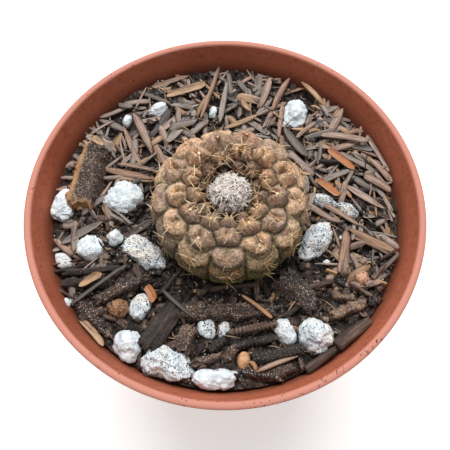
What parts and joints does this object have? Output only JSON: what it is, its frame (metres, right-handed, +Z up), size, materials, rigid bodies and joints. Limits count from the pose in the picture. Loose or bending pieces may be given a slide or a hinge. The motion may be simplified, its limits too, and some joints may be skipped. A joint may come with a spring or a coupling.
{
  "type": "potted cactus",
  "caption": "Small flattened globe cactus with ribbed tubercles, short spines and a woolly bud, in a tapered plastic pot of gritty mix.",
  "frame": {"origin": "middle of the foot ring, on the surface that the pot stands on", "axes": "+Z up along the pot's axis, -Y towards the viewer of the picture, +X to the viewer's right"},
  "size_m": [0.08, 0.08, 0.0776],
  "materials": {
    "pot_plastic": "terracotta-coloured moulded plastic, satin, with dark specks and scuffs",
    "potting_mix": "damp dark crumb with bark chips and rice hulls, matt",
    "cactus_skin": "matt waxy skin, brownish pink on top and olive green below, with golden tan spines",
    "bud_wool": "grey white wool with a pink cast",
    "perlite": "white porous expanded mineral, matt, with dark pits",
    "feed_prill": "tan coated grain, slightly satin"
  },
  "bodies": {
    "root": {"pot": "pot_plastic", "potting_mix": "potting_mix", "cactus_body": "cactus_skin", "woolly_bud": "bud_wool", "perlite_01": "perlite", "perlite_02": "perlite", "perlite_03": "perlite", "perlite_04": "perlite", "perlite_05": "perlite", "perlite_06": "perlite", "perlite_07": "perlite", "perlite_08": "perlite", "perlite_09": "perlite", "perlite_10": "perlite", "perlite_11": "perlite", "perlite_12": "perlite", "perlite_13": "perlite", "perlite_14": "perlite", "perlite_15": "perlite", "perlite_16": "perlite", "perlite_17": "perlite", "perlite_18": "perlite", "perlite_19": "perlite", "perlite_20": "perlite", "perlite_21": "perlite", "feed_prill_1": "feed_prill", "feed_prill_2": "feed_prill", "feed_prill_3": "feed_prill", "feed_prill_4": "feed_prill", "feed_prill_5": "feed_prill"}
  },
  "joints": []
}
